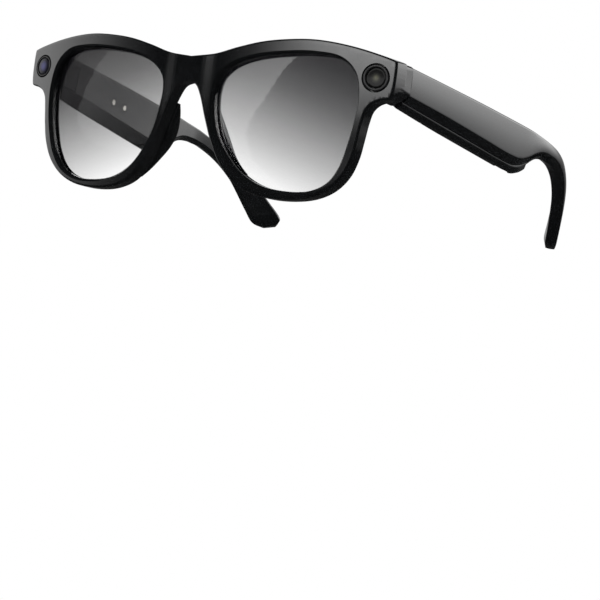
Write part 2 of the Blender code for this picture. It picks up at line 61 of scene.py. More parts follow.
# Clearance between pieces
GAP = 0.3
# How the glasses, as worn, are turned and moved to stand on the floor
SETTLE_ANGLE = math.radians(8.044)
SHIFT_Y = -71.104
LIFT_Z = 29.605
TURN = Matrix.Rotation(-SETTLE_ANGLE, 4, "X")
TO_FRAME = Matrix.Scale(MM, 4) @ Matrix.Translation((0, SHIFT_Y, LIFT_Z)) @ TURN

# Front: its curve, how its ends flare, how the bridge stands proud, and its depths
FACE_RADIUS = 298.0
FACE_TILT = math.radians(6.1)
SAG_RADIUS = 110.0
FLARE = 0.19
FLARE_START = 66.0
FLARE_WIDTH = 8.0
BRIDGE_RISE = 0.35
BRIDGE_FLAT = 4.5
BRIDGE_END = 10.5
RIM_DEPTH = 5.0
FRONT_ROUND = 0.7
BACK_ROUND = 0.5
ENDPIECE_DEPTH = 7.5
GRID = 1.6

# Lenses: their groove in the front, and the extra curve of their upper half
GROOVE_FRONT = 2.6
GROOVE_BACK = 4.4
GROOVE_DEPTH = 0.9
LENS_RADIUS = 298.0
LENS_BALANCE = 80.0

# Camera and light modules
MODULE_U = {1: 67.8, -1: 68.4}
MODULE_V = 12.1
MODULE_RADIUS = {1: 4.25, -1: 3.5}
BEZEL_WALL = {1: 0.9, -1: 0.5}
BEZEL_FOOT = 1.7
POCKET_RADIUS = 3.3
POCKET_FLOOR = 2.0
POCKET_DEPTH = 4.7

# Hinges, and the room cut for them
HINGE_BOTTOM = 8.4
HINGE_TOP = 16.2
HINGE_ROOM = 0.6
HINGE_NOTCH_X = (60.0, 68.9)

# Temples
TEMPLE_X = 75.4
TEMPLE_START = 14.4
SPLAY = 0.08
BEND_START = 80.0
BEND_STEP = 17.0
BENDS = [1.7, 0.0, 1.7, 6.3, 14.8, 27.9, 44.0]
KEEL_P = 5.1
TOP_RISE = 0.7
SHELL_P = 2.5
STEP_P = 3.3
FACE_CROWN = 0.16
COVER_END = 89.0
COVER_GAP = 0.6
WALL_P = 7.6
CORNER_ROUND = 0.35
FULL_THICKNESS = 9.0

# Charging contacts: places along the temple, height, radius of their holes, and sides of the circles
CONTACT_PLACES = {"front": 46.8, "back": 54.0}
CONTACT_Z = 11.3
CONTACT_HOLE = 1.3
CONTACT_SIDES = 40

HALF_TOP = [(0, 15.1), (9, 16.2), (18, 18.8), (27, 21.0), (36, 22.2), (45, 22.7), (54, 22.1), (64, 20.5)]
END_SIDE = [(73.2, 18.2), (73.9, 17.8), (74.1, 17.0), (74.1, 9.6), (73.6, 6.5), (73.2, 5.9), (72.4, 5.6)]
HALF_LOW = [
    (70.0, 5.0), (67.8, 3.9), (66.1, 1.8), (65.1, -2.0), (64.2, -7.5), (62.9, -13.5), (60.2, -19.3),
    (55.5, -24.0), (48.6, -27.2), (38.5, -28.6), (29.0, -27.9), (21.2, -25.0), (15.5, -19.6), (11.6, -12.8),
    (8.4, -5.0), (5.6, 2.2), (3.4, 5.6), (0, 6.9),
]
APERTURE = [
    (10.9, 4.5), (11.3, -1.5), (13.0, -8.4), (16.6, -14.9), (22.0, -20.6), (29.5, -24.4), (38.5, -25.7),
    (48.0, -24.9), (54.3, -21.7), (58.0, -16.6), (60.1, -10.3), (61.7, -2.5), (62.2, 5.5), (60.4, 12.6),
    (55.6, 16.7), (46.5, 17.9), (35.0, 17.2), (24.5, 15.5), (16.4, 12.5), (12.1, 8.6),
]
# Lip round each lens: how far outside the opening, and how deep
LIP = [(1.6, -0.7), (0.95, 0.12), (0.62, 0.45), (0.3, 0.85), (0.1, 1.25), (0.0, 1.7)]
BLOCK_FRONT = [
    (63.2, 8.6), (63.2, 19.9), (73.2, 18.0), (74.15, 17.1),
    (74.15, 9.6), (73.4, 6.4), (70.0, 5.6), (66.0, 6.4),
]
BLOCK_BACK = [
    (64.2, 9.0), (64.2, 17.7), (73.2, 17.8), (74.15, 17.1),
    (74.15, 8.2), (69.6, 4.5), (67.2, 5.4), (65.2, 7.0),
]
FACET_FRONT = [(74.8, 9.5), (73.1, 4.6), (76.0, 4.6)]
FACET_BACK = [(74.8, 9.1), (69.2, 3.6), (76.0, 3.6)]
PAD_STATIONS = [
    (8.2, 0.6, 0.6), (9.1, -2.2, 2.8), (10.2, -5.4, 4.6), (11.7, -9.2, 5.6), (13.8, -12.9, 5.2),
    (16.3, -16.4, 3.8), (19.2, -19.8, 2.2), (22.0, -22.4, 0.7),
]
# Ribs of a temple: top edge, lower edge of the outer face, keel (each t, z), and thickness
RIBS = [
    (15.1, 18.2, 16.1, 8.9, 16.5, 5.1, 9.0),
    (36.0, 18.3, 36.0, 8.3, 36.5, 3.8, 9.0),
    (58.0, 18.3, 58.0, 7.2, 58.0, 2.8, 9.0),
    (74.0, 18.1, 74.0, 6.4, 74.0, 2.1, 9.0),
    (80.0, 18.0, 80.0, 6.8, 80.0, 1.9, 9.0),
    (84.0, 17.9, 84.0, 8.4, 84.0, 2.7, 9.0),
    (88.0, 17.7, 88.0, 10.7, 88.0, 4.9, 9.0),
    (92.0, 17.5, 92.0, 12.4, 92.0, 8.1, 8.6),
    (96.0, 17.3, 96.0, 13.2, 96.0, 10.7, 7.9),
    (101.0, 17.0, 101.0, 13.4, 101.0, 11.9, 7.2),
    (106.0, 16.5, 104.5, 13.4, 104.5, 12.0, 6.6),
    (114.0, 14.7, 111.0, 12.5, 110.5, 11.8, 5.8),
    (122.0, 11.4, 118.5, 9.9, 117.7, 9.5, 5.1),
    (129.6, 7.4, 125.5, 5.3, 124.7, 4.8, 4.6),
    (135.6, 3.4, 130.0, 0.4, 129.0, -0.1, 4.5),
    (140.8, -1.4, 134.0, -4.8, 133.2, -5.4, 4.4),
    (145.0, -6.0, 137.5, -8.9, 136.8, -9.5, 4.2),
    (144.8, -8.4, 141.5, -9.8, 140.5, -10.2, 3.4),
]

SIDES = {"left": 1, "right": -1}

# Studio, in metres: how bright the world is for reflections and soft light, how far off the glowing panels
# are and how high the point they surround is, and the floor's half size and how far it lies below the object
WORLD_FILL = 0.035
STUDIO_RADIUS = 1.4
STUDIO_HEIGHT = 0.025
FLOOR_HALF = 3.0
FLOOR_DEPTH = 0.0002

# Camera, as the glasses are worn
CAMERA_PLACE = (575.51, -723.28, -195.009)
CAMERA_AZIMUTH = math.radians(35.458)
CAMERA_ELEVATION = math.radians(-8.523)
CAMERA_ROLL = math.radians(11.176)
CAMERA_LENS = 173.96


# ---------------------------------------------------------------- camera and studio

def add_camera():
    sin_a, cos_a = math.sin(CAMERA_AZIMUTH), math.cos(CAMERA_AZIMUTH)
    sin_e, cos_e = math.sin(CAMERA_ELEVATION), math.cos(CAMERA_ELEVATION)
    back = Vector((sin_a * cos_e, -cos_a * cos_e, sin_e))
    right = Vector((cos_a, sin_a, 0.0))
    up = back.cross(right)
    sin_r, cos_r = math.sin(CAMERA_ROLL), math.cos(CAMERA_ROLL)
    axes = Matrix((cos_r * right + sin_r * up, cos_r * up - sin_r * right, back)).transposed()
    camera = bpy.data.objects.new("camera", bpy.data.cameras.new("camera"))
    camera.data.lens = CAMERA_LENS
    camera.data.sensor_width = 36.0
    place = TO_FRAME @ Vector(CAMERA_PLACE)
    camera.matrix_world = Matrix.Translation(place) @ TURN @ axes.to_4x4()
    bpy.context.scene.collection.objects.link(camera)
    bpy.context.scene.camera = camera


def add_world():
    """White where the camera sees it, and dim for reflections, so that black plastic stays black."""
    world = bpy.data.worlds.new("studio")
    world.use_nodes = True
    nodes, links = world.node_tree.nodes, world.node_tree.links
    nodes.clear()
    output = nodes.new("ShaderNodeOutputWorld")
    seen = nodes.new("ShaderNodeBackground")
    seen.inputs["Color"].default_value = (1, 1, 1, 1)
    lit = nodes.new("ShaderNodeBackground")
    lit.inputs["Color"].default_value = (1, 1, 1, 1)
    lit.inputs["Strength"].default_value = WORLD_FILL
    mixed = nodes.new("ShaderNodeMixShader")
    path = nodes.new("ShaderNodeLightPath")
    links.new(path.outputs["Is Camera Ray"], mixed.inputs[0])
    links.new(lit.outputs[0], mixed.inputs[1])
    links.new(seen.outputs[0], mixed.inputs[2])
    links.new(mixed.outputs[0], output.inputs["Surface"])
    bpy.context.scene.world = world
    bpy.context.scene.view_settings.view_transform = "Standard"


def add_floor():
    """A pale floor, seen only from above."""
    bm = bmesh.new()
    for x, y in ((-1, -1), (1, -1), (1, 1), (-1, 1)):
        bm.verts.new((x * FLOOR_HALF, y * FLOOR_HALF, -FLOOR_DEPTH))
    bm.faces.new(bm.verts)
    mesh = bpy.data.meshes.new("floor")
    bm.to_mesh(mesh)
    bm.free()
    floor = bpy.data.objects.new("floor", mesh)
    bpy.context.scene.collection.objects.link(floor)
    look = bpy.data.materials.new("pale_floor")
    look.use_nodes = True
    nodes, links = look.node_tree.nodes, look.node_tree.links
    paint = nodes["Principled BSDF"]
    paint.inputs["Base Color"].default_value = (0.86, 0.86, 0.87, 1)
    paint.inputs["Roughness"].default_value = 0.6
    clear = nodes.new("ShaderNodeBsdfTransparent")
    mixed = nodes.new("ShaderNodeMixShader")
    geometry = nodes.new("ShaderNodeNewGeometry")
    links.new(geometry.outputs["Backfacing"], mixed.inputs[0])
    links.new(paint.outputs[0], mixed.inputs[1])
    links.new(clear.outputs[0], mixed.inputs[2])
    links.new(mixed.outputs[0], nodes["Material Output"].inputs["Surface"])
    mesh.materials.append(look)
    floor.visible_glossy = False
    floor.visible_shadow = False


def fade(nodes, links, source, stops):
    """Turns a share from 0 to 1 into a level, through evenly smoothed (share, level) stops."""
    ramp = nodes.new("ShaderNodeValToRGB")
    ramp.color_ramp.interpolation = "B_SPLINE"
    elements = ramp.color_ramp.elements
    while len(elements) < len(stops):
        elements.new(0.5)
    for element, (place, level) in zip(elements, stops):
        element.position = place
        element.color = (level, level, level, 1)
    links.new(source, ramp.inputs["Fac"])
    return ramp.outputs["Color"]


def shares(stops):
    """(degrees, level) stops as (share of the whole span, level)."""
    first, last = stops[0][0], stops[-1][0]
    return [((angle - first) / (last - first), level) for angle, level in stops]


def direction(turn, lift):
    """The way out: degrees round from the front towards the wearer's right, and up from the horizon."""
    turn, lift = math.radians(turn), math.radians(lift)
    return Vector((-math.sin(turn) * math.cos(lift), -math.cos(turn) * math.cos(lift), math.sin(lift)))


def softbox(name, across, upward, strength, receivers):
    """A curved glowing panel round the glasses, with (degrees, level) stops round it and up it."""
    def spot(a, b):
        turn = across[0][0] + (across[-1][0] - across[0][0]) * a
        lift = upward[0][0] + (upward[-1][0] - upward[0][0]) * b
        return direction(turn, lift)
    panel(name, spot, shares(across), shares(upward), strength, receivers)


def ring_light(name, turn, lift, inner, outer, levels, strength, receivers):
    """A ring-shaped glowing panel, with (share, level) stops from its inner to its outer edge."""
    def spot(a, b):
        radius = inner + (outer - inner) * a
        angle = 2 * math.pi * b
        return direction(turn + radius * math.cos(angle), lift + radius * math.sin(angle))
    panel(name, spot, levels, [(0.0, 1.0), (1.0, 1.0)], strength, receivers)


def panel(name, spot, across, upward, strength, receivers, steps=20):
    """A glowing sheet from a function of two shares, with a fade along each, that lights the receivers."""
    bm = bmesh.new()
    layer = bm.loops.layers.uv.new("place")
    centre = Vector((0, 0, STUDIO_HEIGHT))
    rows = []
    for i in range(steps + 1):
        ways = [spot(i / steps, j / steps) for j in range(steps + 1)]
        rows.append([bm.verts.new(way * STUDIO_RADIUS + centre) for way in ways])
    for i in range(steps):
        for j in range(steps):
            spots = ((i, j), (i + 1, j), (i + 1, j + 1), (i, j + 1))
            face = bm.faces.new([rows[a][b] for a, b in spots])
            for loop, (a, b) in zip(face.loops, spots):
                loop[layer].uv = (a / steps, b / steps)
    mesh = bpy.data.meshes.new(name)
    bm.to_mesh(mesh)
    bm.free()
    shown = bpy.data.objects.new(name, mesh)
    bpy.context.scene.collection.objects.link(shown)
    look = bpy.data.materials.new(name)
    look.use_nodes = True
    nodes, links = look.node_tree.nodes, look.node_tree.links
    nodes.clear()
    output = nodes.new("ShaderNodeOutputMaterial")
    glow = nodes.new("ShaderNodeEmission")
    place = nodes.new("ShaderNodeUVMap")
    place.uv_map = "place"
    split = nodes.new("ShaderNodeSeparateXYZ")
    links.new(place.outputs["UV"], split.inputs[0])
    level = nodes.new("ShaderNodeMath")
    level.operation = "MULTIPLY"
    links.new(fade(nodes, links, split.outputs["X"], across), level.inputs[0])
    links.new(fade(nodes, links, split.outputs["Y"], upward), level.inputs[1])
    scaled = nodes.new("ShaderNodeMath")
    scaled.operation = "MULTIPLY"
    scaled.inputs[1].default_value = strength
    links.new(level.outputs[0], scaled.inputs[0])
    links.new(scaled.outputs[0], glow.inputs["Strength"])
    clear = nodes.new("ShaderNodeBsdfTransparent")
    both = nodes.new("ShaderNodeAddShader")
    links.new(glow.outputs[0], both.inputs[0])
    links.new(clear.outputs[0], both.inputs[1])
    links.new(both.outputs[0], output.inputs["Surface"])
    mesh.materials.append(look)
    shown.visible_camera = False
    shown.visible_transmission = False
    shown.visible_shadow = False
    shown.light_linking.receiver_collection = receivers


def area_light(name, out, distance, size, power):
    """A disc lamp that faces the object from the given way out."""
    light = bpy.data.lights.new(name, "AREA")
    light.energy = power
    light.shape = "DISK"
    light.size = size
    lamp = bpy.data.objects.new(name, light)
    way = Vector(out).normalized()
    lamp.location = way * distance
    lamp.rotation_euler = way.to_track_quat("Z", "Y").to_euler()
    lamp.visible_glossy = False
    bpy.context.scene.collection.objects.link(lamp)


# ---------------------------------------------------------------- shape helpers

def smooth_curve(points, steps, closed=False):
    """A smooth curve through the points that doesn't swing past unevenly spaced ones."""
    points = [Vector(point) for point in points]
    if closed:
        padded = [points[-1], *points, points[0], points[1]]
    else:
        padded = [2 * points[0] - points[1], *points, 2 * points[-1] - points[-2]]
    line = []
    for a, b, c, d in zip(padded, padded[1:], padded[2:], padded[3:]):
        knots = [0.0]
        for near, far in ((a, b), (b, c), (c, d)):
            knots.append(knots[-1] + math.sqrt((far - near).length))
        t0, t1, t2, t3 = knots
        for step in range(steps):
            t = t1 + (t2 - t1) * step / steps
            ab = a * ((t1 - t) / (t1 - t0)) + b * ((t - t0) / (t1 - t0))
            bc = b * ((t2 - t) / (t2 - t1)) + c * ((t - t1) / (t2 - t1))
            cd = c * ((t3 - t) / (t3 - t2)) + d * ((t - t2) / (t3 - t2))
            abc = ab * ((t2 - t) / (t2 - t0)) + bc * ((t - t0) / (t2 - t0))
            bcd = bc * ((t3 - t) / (t3 - t1)) + cd * ((t - t1) / (t3 - t1))
            line.append(tuple(abc * ((t2 - t) / (t2 - t1)) + bcd * ((t - t1) / (t2 - t1))))
    if not closed:
        line.append(tuple(points[-1]))
    return line


def signed_area(loop):
    return 0.5 * sum(a[0] * b[1] - b[0] * a[1] for a, b in zip(loop, loop[1:] + loop[:1]))


def grown(loop, distance):
    """The closed outline moved outwards by a distance, or inwards by a negative one."""
    turn = 1 if signed_area(loop) > 0 else -1
    moved = []
    for before, here, after in zip(loop[-1:] + loop[:-1], loop, loop[1:] + loop[:1]):
        along = (Vector(here) - Vector(before)).normalized() + (Vector(after) - Vector(here)).normalized()
        along.normalize()
        moved.append((here[0] + turn * along.y * distance, here[1] - turn * along.x * distance))
    return moved


def rounded(corners, radius, steps=4, kept=()):
    """A closed polygon with each corner drawn as a short curve, save those kept as they are."""
    corners = [Vector(corner) for corner in corners]
    loop = []
    for i, here in enumerate(corners):
        if i in kept:
            loop.append(here)
            continue
        before, after = corners[i - 1], corners[(i + 1) % len(corners)]
        back, on = before - here, after - here
        start = here + back.normalized() * min(radius, back.length * 0.4)
        end = here + on.normalized() * min(radius, on.length * 0.4)
        for step in range(steps + 1):
            s = step / steps
            loop.append(start * (1 - s) ** 2 + here * (2 * s * (1 - s)) + end * s**2)
    return loop


def circle(centre, radius, sides=72):
    turns = [2 * math.pi * i / sides for i in range(sides)]
    return [(centre[0] + radius * math.cos(a), centre[1] + radius * math.sin(a)) for a in turns]


def mirrored(outline, side):
    return [(side * u, v) for u, v in outline]


def loft(sections):
    """A closed mesh through sections of equal length, with its two ends filled."""
    bm = bmesh.new()
    rings = [[bm.verts.new(point) for point in section] for section in sections]
    for near, far in zip(rings, rings[1:]):
        for i in range(len(near)):
            j = (i + 1) % len(near)
            bm.faces.new((near[i], near[j], far[j], far[i]))
    ends = [bm.faces.new(rings[0]), bm.faces.new(reversed(rings[-1]))]
    bmesh.ops.triangulate(bm, faces=ends, ngon_method="BEAUTY")
    return bm


def torus(rings):
    """A closed mesh through rings that come back to the first one."""
    bm = bmesh.new()
    verts = [[bm.verts.new(point) for point in ring] for ring in rings]
    for near, far in zip(verts, verts[1:] + verts[:1]):
        for i in range(len(near)):
            j = (i + 1) % len(near)
            bm.faces.new((near[i], near[j], far[j], far[i]))
    return bm


def box(low, high):
    bm = bmesh.new()
    bmesh.ops.create_cube(bm, size=1.0)
    for vert in bm.verts:
        vert.co = Vector(low[i] + (vert.co[i] + 0.5) * (high[i] - low[i]) for i in range(3))
    return bm


def joined(bm, other, operation="DIFFERENCE"):
    """One mesh from two closed ones."""
    objects = []
    for made in (bm, other):
        bmesh.ops.recalc_face_normals(made, faces=made.faces)
        mesh = bpy.data.meshes.new("stage")
        made.to_mesh(mesh)
        made.free()
        objects.append(bpy.data.objects.new("stage", mesh))
        bpy.context.scene.collection.objects.link(objects[-1])
    modifier = objects[0].modifiers.new("join", "BOOLEAN")
    modifier.operation = operation
    modifier.solver = "MANIFOLD"
    modifier.object = objects[1]
    graph = bpy.context.evaluated_depsgraph_get()
    result = bmesh.new()
    result.from_mesh(bpy.data.meshes.new_from_object(objects[0].evaluated_get(graph)))
    for obj in objects:
        bpy.data.objects.remove(obj, do_unlink=True)
    return result


def piece(name, bm, body, look, stands_for=(), sharp=32):
    """A shown piece from a mesh in millimetres as worn."""
    bmesh.ops.recalc_face_normals(bm, faces=bm.faces)
    bmesh.ops.transform(bm, matrix=TO_FRAME, verts=bm.verts)
    mesh = bpy.data.meshes.new(name)
    bm.to_mesh(mesh)
    bm.free()
    mesh.materials.append(look)
    mesh.shade_smooth()
    mesh.set_sharp_from_angle(angle=math.radians(sharp))
    obj = bpy.data.objects.new(name, mesh)
    bpy.context.scene.collection.objects.link(obj)
    weighted = obj.modifiers.new("normals", "WEIGHTED_NORMAL")
    weighted.keep_sharp = True
    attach(obj, body)
    if stands_for:
        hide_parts(*stands_for)
    return obj


# ---------------------------------------------------------------- front

def smooth_step(value, low, high):
    share = min(max((value - low) / (high - low), 0.0), 1.0)
    return share * share * (3 - 2 * share)


def wrapped(u, w, v):
    """The flat design point (u across, w back, v up) on the curved, tilted front, proud at the bridge."""
    ramp = min(max((abs(u) - FLARE_START) / FLARE_WIDTH, 0.0), 1.0)
    side = math.copysign(1.0, u)
    x = u + side * FLARE * max(w, 0.0) * ramp
    bridge = 1 - smooth_step(abs(u), BRIDGE_FLAT, BRIDGE_END)
    w -= BRIDGE_RISE * bridge * (1 - w / RIM_DEPTH)
    sag = u * u / (2 * FACE_RADIUS) + min(v, 0.0) ** 2 / (2 * SAG_RADIUS)
    y = sag - v * math.sin(FACE_TILT) + w * math.cos(FACE_TILT)
    z = v * math.cos(FACE_TILT) + w * math.sin(FACE_TILT)
    return Vector((x, y, z))


def layered(layers):
    """A flat-design solid from (outline, w) layers, front to back."""
    return loft([[(u, w, v) for u, v in outline] for outline, w in layers])


def wrap(bm):
    """Cuts the flat design into a fine grid and lays it on the curved front."""
    for axis in (0, 2):
        places = [vert.co[axis] for vert in bm.verts]
        normal = [0, 0, 0]
        normal[axis] = 1
        for i in range(math.ceil(min(places) / GRID), math.ceil(max(places) / GRID)):
            geometry = bm.verts[:] + bm.edges[:] + bm.faces[:]
            cut_at = [0, 0, 0]
            cut_at[axis] = i * GRID
            bmesh.ops.bisect_plane(bm, geom=geometry, dist=0.001, plane_co=cut_at, plane_no=normal)
    bmesh.ops.remove_doubles(bm, verts=bm.verts, dist=0.004)
    bmesh.ops.dissolve_degenerate(bm, edges=bm.edges, dist=0.003)
    many_sided = [face for face in bm.faces if len(face.verts) > 4]
    bmesh.ops.triangulate(bm, faces=many_sided, ngon_method="BEAUTY")
    for vert in bm.verts:
        vert.co = wrapped(*vert.co)
    return bm


def front_outline():
    """The closed outline of the whole front, both halves."""
    half = smooth_curve(HALF_TOP + END_SIDE + HALF_LOW, 7)
    return half + [(-u, v) for u, v in reversed(half[1:-1])]


def round_edge(outline, radius, at, outwards, steps=5):
    """Layers that round the edge of an outline, from its flat face to its side."""
    layers = []
    for step in range(steps + 1):
        turn = math.pi / 2 * step / steps
        depth = at + outwards * radius * (1 - math.cos(turn))
        layers.append((grown(outline, -radius * (1 - math.sin(turn))), depth))
    return layers


def aperture_cutter(side):
    """The lens opening: a rounded lip, the lens groove and the rear lip."""
    outline = mirrored(smooth_curve(APERTURE, 7, closed=True), side)
    layers = [(grown(outline, out), deep) for out, deep in LIP]
    groove = grown(outline, GROOVE_DEPTH)
    return layered([
        *layers,
        (outline, GROOVE_FRONT),
        (groove, GROOVE_FRONT),
        (groove, GROOVE_BACK),
        (outline, GROOVE_BACK),
        (grown(outline, 0.02), RIM_DEPTH - 0.3),
        (grown(outline, 0.3), RIM_DEPTH),
        (grown(outline, 1.0), RIM_DEPTH + 0.5),
    ])


def module_centre(side):
    return (side * MODULE_U[side], MODULE_V)


def module_bore(side):
    """The stepped bore that holds the camera or the light, open at the front."""
    centre = module_centre(side)
    mouth = MODULE_RADIUS[side] + GAP
    return layered([
        (circle(centre, mouth + 0.5), -0.5),
        (circle(centre, mouth + 0.12), 0.02),
        (circle(centre, mouth + 0.02), 0.12),
        (circle(centre, mouth), 0.3),
        (circle(centre, mouth), POCKET_FLOOR),
        (circle(centre, POCKET_RADIUS), POCKET_FLOOR),
        (circle(centre, POCKET_RADIUS), POCKET_DEPTH),
    ])


def hinge_notch(side, front, back):
    """The room for a hinge, from one place behind the face to another."""
    xs = sorted(side * x for x in HINGE_NOTCH_X)
    return box((xs[0], front, HINGE_BOTTOM - HINGE_ROOM), (xs[1], back, HINGE_TOP + HINGE_ROOM))


def front_frame():
    outline = front_outline()
    front_layers = round_edge(outline, FRONT_ROUND, 0.0, 1)
    back_layers = round_edge(outline, BACK_ROUND, RIM_DEPTH, -1)
    shape = layered(front_layers + back_layers[::-1])
    for side in SIDES.values():
        ends = [rounded(mirrored(corners, side), 0.8) for corners in (BLOCK_FRONT, BLOCK_BACK)]
        block = layered([(ends[0], 1.5), (ends[0], 3.0), (ends[1], ENDPIECE_DEPTH)])
        shape = joined(shape, block, "UNION")
        facet_front, facet_back = (mirrored(corners, side) for corners in (FACET_FRONT, FACET_BACK))
        shape = joined(shape, layered([(facet_front, 0.7), (facet_back, ENDPIECE_DEPTH + 1)]))
        shape = joined(shape, aperture_cutter(side))
        shape = joined(shape, module_bore(side))
    shape = wrap(shape)
    for side in SIDES.values():
        shape = joined(shape, hinge_notch(side, 11.3, 18.0))
    return piece("front_shell", shape, "front", BLACK_GLOSS, ["front_frame"])


def lens(name, side):
    outline = mirrored(smooth_curve(APERTURE, 7, closed=True), side)
    edge = grown(outline, GROOVE_DEPTH - GAP)
    plate = wrap(layered([(edge, GROOVE_FRONT + GAP), (edge, GROOVE_BACK - GAP)]))
    for vert in plate.verts:
        vert.co.y += (max(vert.co.z, 0.0) ** 2 / 2 - LENS_BALANCE) / LENS_RADIUS
    return piece("lens_glass_" + name, plate, "front", LENS_TINT, ["lens_" + name])


def nose_pad(name, side):
    """A smooth pad that rises behind the rim and leans towards the nose."""
    centres = smooth_curve(PAD_STATIONS, 7)
    base = RIM_DEPTH + GAP
    sections = []
    for i, (u, v, height) in enumerate(centres):
        near, far = centres[max(i - 1, 0)], centres[min(i + 1, len(centres) - 1)]
        along = Vector((far[0] - near[0], far[1] - near[1])).normalized()
        out = Vector((along.y, -along.x))
        profile = smooth_curve([
            (1.6, base), (2.25, base + 0.35 * height), (2.05, base + 0.85 * height), (1.2, base + height),
            (0.1, base + 0.92 * height), (-1.1, base + 0.45 * height), (-1.5, base),
        ], 4, closed=True)
        sections.append([(side * (u + out.x * n), max(w, base), v + out.y * n) for n, w in profile])
    shape = loft(sections)
    for vert in shape.verts:
        vert.co = wrapped(*vert.co)
    return piece("pad_" + name, shape, "front", BLACK_GLOSS, ["nose_pad_" + name], 60)


def turned(side, profile):
    """A round piece of a module, from (radius, w) points out from its axis and back to it."""
    centre = module_centre(side)
    return [[wrapped(u, w, v) for u, v in circle(centre, radius)] for radius, w in profile]


def bezel_profile(side):
    """A ring's section: a rounded crown, an outer wall, and a straight bore."""
    radius = MODULE_RADIUS[side]
    wall = BEZEL_WALL[side]
    crown = []
    for step in range(9):
        turn = math.pi * step / 8
        crown.append((radius - wall / 2 + math.cos(turn) * wall / 2, 0.12 - 0.22 * math.sin(turn)))
    return [(radius, BEZEL_FOOT), *crown, (radius - wall, BEZEL_FOOT)]


def window_edge(side):
    return MODULE_RADIUS[side] - BEZEL_WALL[side] - GAP / 2


def camera():
    side = SIDES["right"]
    ring = torus(turned(side, bezel_profile(side)))
    piece("camera_ring", ring, "front", SATIN_BLACK, ["camera_bezel"])
    edge = window_edge(side)
    dome = [(edge, 1.3)]
    steps = 13
    for step in range(steps):
        share = 1 - step / steps
        dome.append((edge * share, 0.2 - 0.42 * math.sqrt(max(0.0, 1 - share**2))))
    shape = loft(turned(side, dome))
    piece("camera_dome", shape, "front", CAMERA_GLASS, ["camera_window"], 50)


def light():
    side = SIDES["left"]
    ring = torus(turned(side, bezel_profile(side)))
    piece("light_ring", ring, "front", SATIN_BLACK, ["light_bezel"])
    edge = window_edge(side)
    window = [
        (edge, 1.1), (edge, 0.3), (edge - 0.15, 0.22), (edge - 0.6, 0.24),
        (1.6, 0.28), (0.8, 0.29), (0.2, 0.3),
    ]
    shape = loft(turned(side, window))
    piece("light_lens", shape, "front", SMOKED_WINDOW, ["light_window"])


# ---------------------------------------------------------------- temples

def outer_face_x(t):
    """How far out the outer face is: straight, then bending in behind the ear."""
    place = max(0.0, (t - BEND_START) / BEND_STEP)
    i = int(place)
    s = place - i
    a, b, c, d = BENDS[i : i + 4]
    square, cube = 2 * a - 5 * b + 4 * c - d, 3 * b - a - 3 * c + d
    bend = 0.5 * (2 * b + (c - a) * s + square * s * s + cube * s**3)
    return TEMPLE_X + SPLAY * (t - TEMPLE_START) - bend


def temple_point(side, p, t, z):
    """The point p inside the outer face, on the splayed temple that bends in behind the ear."""
    slope = outer_face_x(t + 0.5) - outer_face_x(t - 0.5)
    length = math.hypot(1.0, slope)
    return Vector((side * (outer_face_x(t) - p / length), t + p * slope / length, z))


def brick(side, t_range, p_range, z_range):
    """A block that follows the straight part of a temple."""
    sections = []
    for t in t_range:
        bottom, top = z_range
        corners = [(p_range[0], bottom), (p_range[1], bottom), (p_range[1], top), (p_range[0], top)]
        sections.append([temple_point(side, p, t, z) for p, z in corners])
    return loft(sections)


def blend(a, b, share):
    return tuple(x + (y - x) * share for x, y in zip(a, b))


def raised(point, rise):
    return (point[0], point[1] + rise)


def temple_section(side, corners, kept=()):
    """A rounded section from (p, (t, z)) corners."""
    loop = rounded([(p, *place) for p, place in corners], CORNER_ROUND, kept=kept)
    return [temple_point(side, *point) for point in loop]


def split_rib(rib):
    return rib[0:2], rib[2:4], rib[4:6], rib[6]


def face_corners(top, face):
    """The outer face from its top edge down: a shallow crown instead of a flat plane."""
    places = (0.05, 0.2, 0.35, 0.5, 0.65, 0.8, 0.92, 1.0)
    return [(FACE_CROWN * (2 * place - 1) ** 2, blend(top, face, place)) for place in places]


def full_corners(rib):
    top, face, keel, thickness = split_rib(rib)
    keel_p = KEEL_P * thickness / FULL_THICKNESS
    inner_top = raised(top, TOP_RISE)
    return [
        (0.7, top), *face_corners(top, face), (keel_p * 0.45, blend(face, keel, 0.45)),
        (keel_p, keel), (thickness, blend(face, keel, 0.28)), (thickness, blend(inner_top, face, 0.06)),
        (thickness - 0.6, inner_top),
    ]


def shell_corners(rib):
    """The outer wall along the cover, drawn with as many corners as the full section."""
    top, face, keel, _ = split_rib(rib)
    low = blend(face, keel, SHELL_P / KEEL_P)
    inner_wall = [(SHELL_P, blend(low, top, share)) for share in (0.0, 0.25, 0.5, 0.75, 1.0)]
    return [(0.7, top), *face_corners(top, face), *inner_wall]


def cover_corners(rib):
    top, face, keel, thickness = split_rib(rib)
    start = SHELL_P + GAP
    low = blend(face, keel, start / KEEL_P)
    inner_top = raised(top, TOP_RISE)
    return [
        (start, raised(top, TOP_RISE * start / thickness)), (start, low), (STEP_P, blend(low, keel, 0.85)),
        (KEEL_P, keel), (thickness, blend(face, keel, 0.28)), (thickness, blend(inner_top, face, 0.06)),
        (thickness - 0.6, inner_top),
    ]


def fine_ribs():
    return smooth_curve(RIBS, 8)


def temple_shell(name, side):
    ribs = fine_ribs()
    along = [rib for rib in ribs if rib[0] < COVER_END]
    behind = ribs[len(along) :]
    crown = range(2, 8)
    sections = [temple_section(side, shell_corners(rib), crown) for rib in along]
    sections += [temple_section(side, full_corners(rib), crown) for rib in behind]
    body = "temple_" + name
    piece("shell_" + name, loft(sections), body, BLACK_GLOSS, ["temple_shell_" + name])


